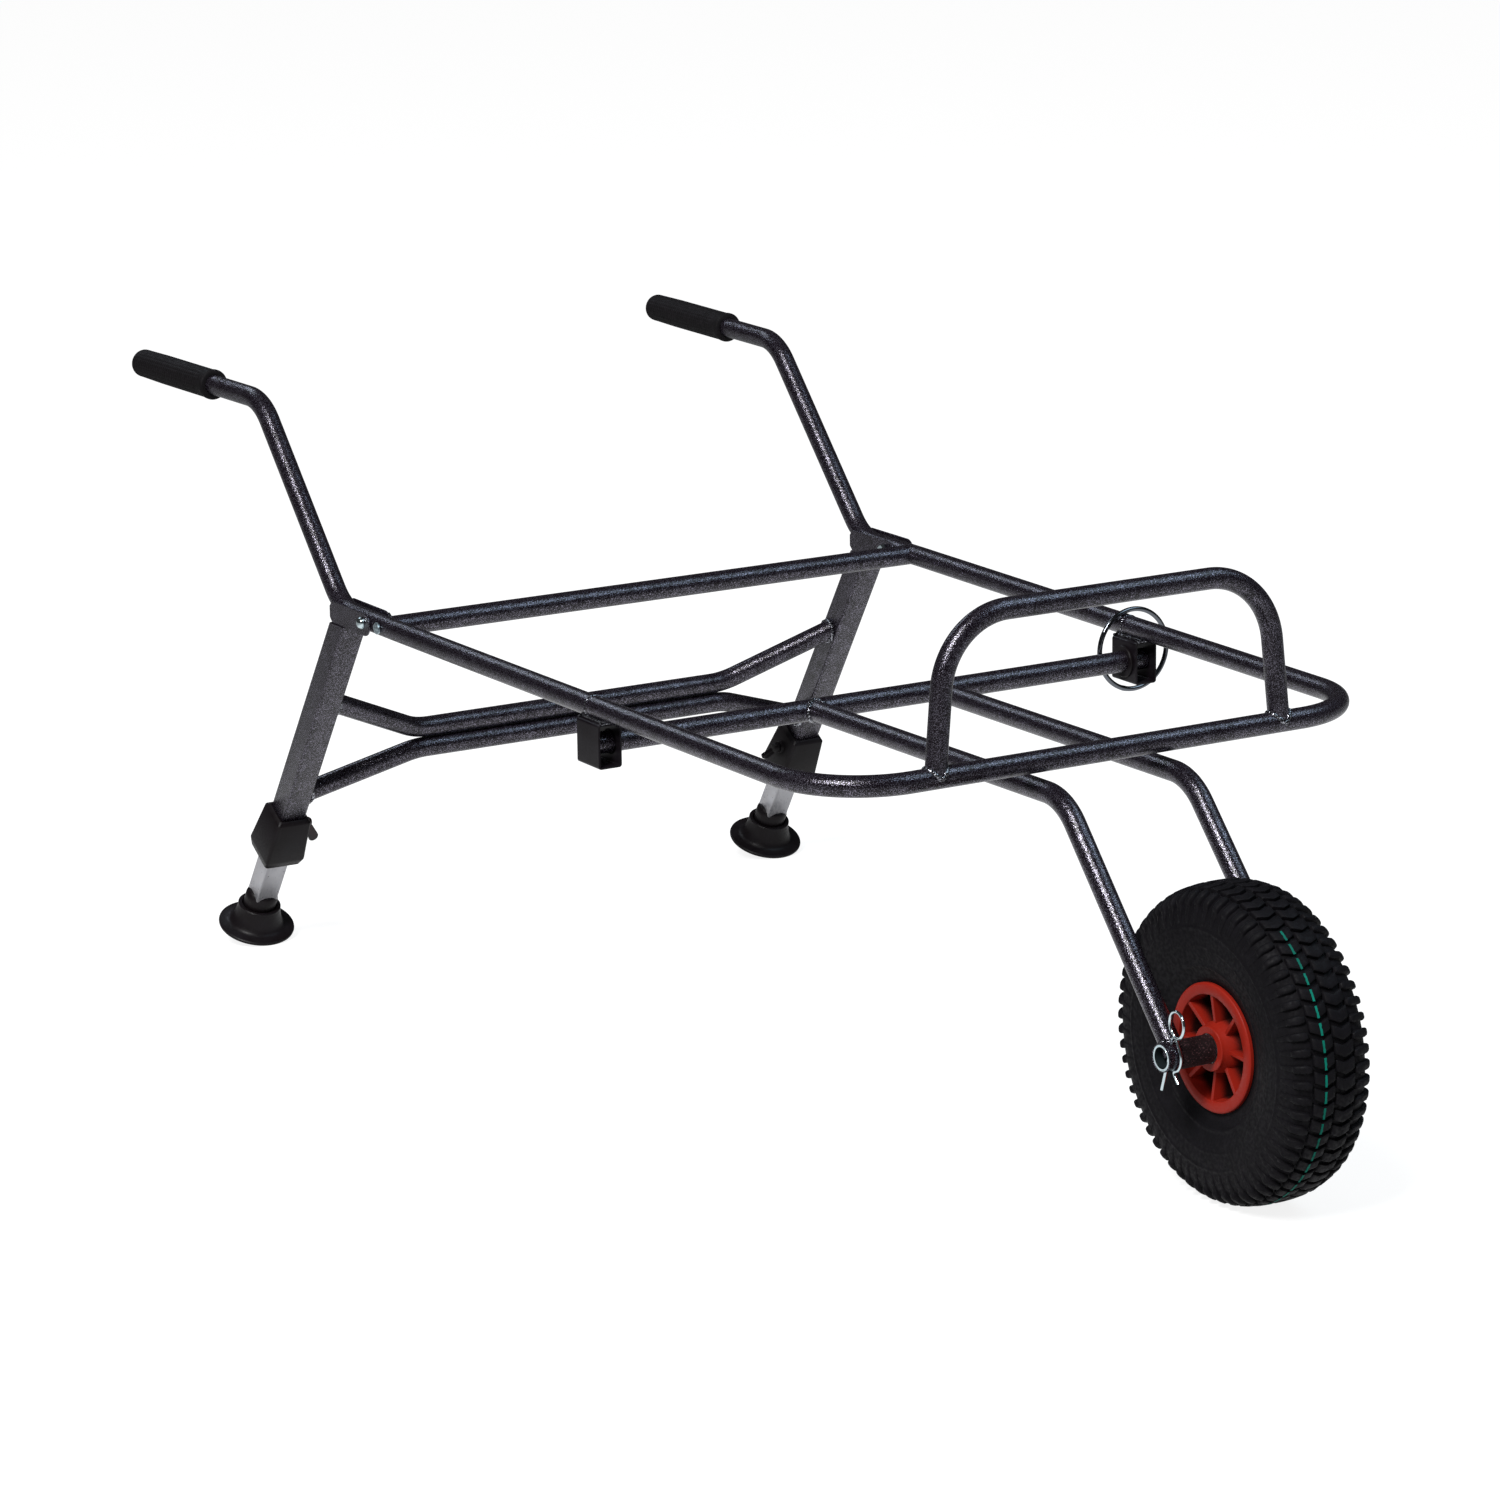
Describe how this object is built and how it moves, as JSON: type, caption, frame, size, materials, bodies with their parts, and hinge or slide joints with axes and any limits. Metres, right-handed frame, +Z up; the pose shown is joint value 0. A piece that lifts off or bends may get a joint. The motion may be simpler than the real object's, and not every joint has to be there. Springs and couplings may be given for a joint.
{
  "type": "folding transport cart",
  "caption": "Folding one-wheel push cart: tube frame with long handles, swinging wheel fork, front hoop and folding telescopic legs with swivel feet.",
  "frame": {"origin": "centre of the object's box on the ground", "axes": "+X to the left side of a person at the handles, +Y from the wheel towards the handles, +Z up"},
  "size_m": [0.7442, 1.7676, 0.6341],
  "materials": {
    "hammertone_paint": "dark blue-grey hammertone paint",
    "bright_zinc": "bright plated steel",
    "bare_steel": "bare steel",
    "aluminium": "drawn aluminium with light scratches",
    "black_rubber": "matte black rubber",
    "tyre_rubber": "black block tread tyre",
    "black_plastic": "satin black moulded plastic",
    "red_plastic": "red moulded rim"
  },
  "bodies": {
    "frame": {"handle_rail_right": "hammertone_paint", "handle_rail_left": "hammertone_paint", "grip_right": "black_rubber", "grip_left": "black_rubber", "front_loop": "hammertone_paint", "front_hoop": "hammertone_paint", "fork_socket_right": "hammertone_paint", "fork_socket_left": "hammertone_paint", "fork_bush_right": "black_plastic", "fork_bush_left": "black_plastic", "rear_crossbar": "hammertone_paint", "crossbar_plug_right": "bare_steel", "crossbar_plug_left": "bare_steel", "crossbar_screw_right": "bright_zinc", "crossbar_screw_left": "bright_zinc", "leg_pivot_bolt_right": "bright_zinc", "leg_pivot_bolt_left": "bright_zinc", "leg_pivot_nut_right": "bright_zinc", "leg_pivot_nut_left": "bright_zinc"},
    "strap_ring": {"strap_ring": "bright_zinc"},
    "fork": {"fork_cross_tube": "hammertone_paint", "fork_leg_right": "hammertone_paint", "fork_leg_left": "hammertone_paint", "axle_sleeve_right": "hammertone_paint", "axle_sleeve_left": "hammertone_paint", "axle_spacer_right": "black_plastic", "axle_spacer_left": "black_plastic", "axle_clip_right": "bright_zinc", "axle_clip_left": "bright_zinc", "axle_tube": "bright_zinc"},
    "wheel": {"tyre": "tyre_rubber", "inner_tube": "black_rubber", "rim": "red_plastic", "wheel_bearing_right": "bare_steel", "wheel_bearing_left": "bare_steel", "valve_stem": "black_rubber"},
    "legs": {"leg_bracket_right": "hammertone_paint", "leg_bracket_left": "hammertone_paint", "leg_outer_right": "hammertone_paint", "leg_outer_left": "hammertone_paint", "leg_clamp_right": "black_plastic", "leg_clamp_left": "black_plastic", "leg_brace_upper": "hammertone_paint", "leg_brace_lower": "hammertone_paint"},
    "inner_leg_right": {"leg_inner_right": "aluminium", "foot_plug_right": "black_plastic"},
    "foot_right": {"foot_right": "black_plastic"},
    "clamp_screw_right": {"clamp_screw_right": "black_plastic"},
    "inner_leg_left": {"leg_inner_left": "aluminium", "foot_plug_left": "black_plastic"},
    "foot_left": {"foot_left": "black_plastic"},
    "clamp_screw_left": {"clamp_screw_left": "black_plastic"}
  },
  "joints": [
    {"name": "wheel_spin", "type": "hinge", "parent": "fork", "child": "wheel", "pos_m": [0, -0.73365, 0.15], "axis": [1, 0, 0], "continuous": true},
    {"name": "fork_fold", "type": "hinge", "parent": "frame", "child": "fork", "pos_m": [0, -0.11715, 0.362], "axis": [1, 0, 0], "range_deg": [0, 125]},
    {"name": "legs_fold", "type": "hinge", "parent": "frame", "child": "legs", "pos_m": [0, 0.34965, 0.40782], "axis": [-1, 0, 0], "range_deg": [0, 110]},
    {"name": "strap_ring_swing", "type": "hinge", "parent": "frame", "child": "strap_ring", "pos_m": [0.31747, -0.10285, 0.41122], "axis": [1, 0, 0], "range_deg": [0, 60]},
    {"name": "inner_leg_slide_right", "type": "slide", "parent": "legs", "child": "inner_leg_right", "axis": [-0.013, 0.5602, -0.8283], "range_m": [-0.045, 0.12]},
    {"name": "foot_tilt_right", "type": "hinge", "parent": "inner_leg_right", "child": "foot_right", "pos_m": [-0.33007, 0.64537, 0.04374], "axis": [1, 0, 0], "range_deg": [0, 23]},
    {"name": "clamp_screw_turn_right", "type": "hinge", "parent": "legs", "child": "clamp_screw_right", "pos_m": [-0.3157, 0.57752, 0.14406], "axis": [1, 0, 0], "range_deg": [0, 360]},
    {"name": "inner_leg_slide_left", "type": "slide", "parent": "legs", "child": "inner_leg_left", "axis": [0.013, 0.5602, -0.8283], "range_m": [-0.045, 0.12]},
    {"name": "foot_tilt_left", "type": "hinge", "parent": "inner_leg_left", "child": "foot_left", "pos_m": [0.33007, 0.64537, 0.04374], "axis": [1, 0, 0], "range_deg": [0, 23]},
    {"name": "clamp_screw_turn_left", "type": "hinge", "parent": "legs", "child": "clamp_screw_left", "pos_m": [0.3157, 0.57752, 0.14406], "axis": [-1, 0, 0], "range_deg": [0, 360]}
  ]
}
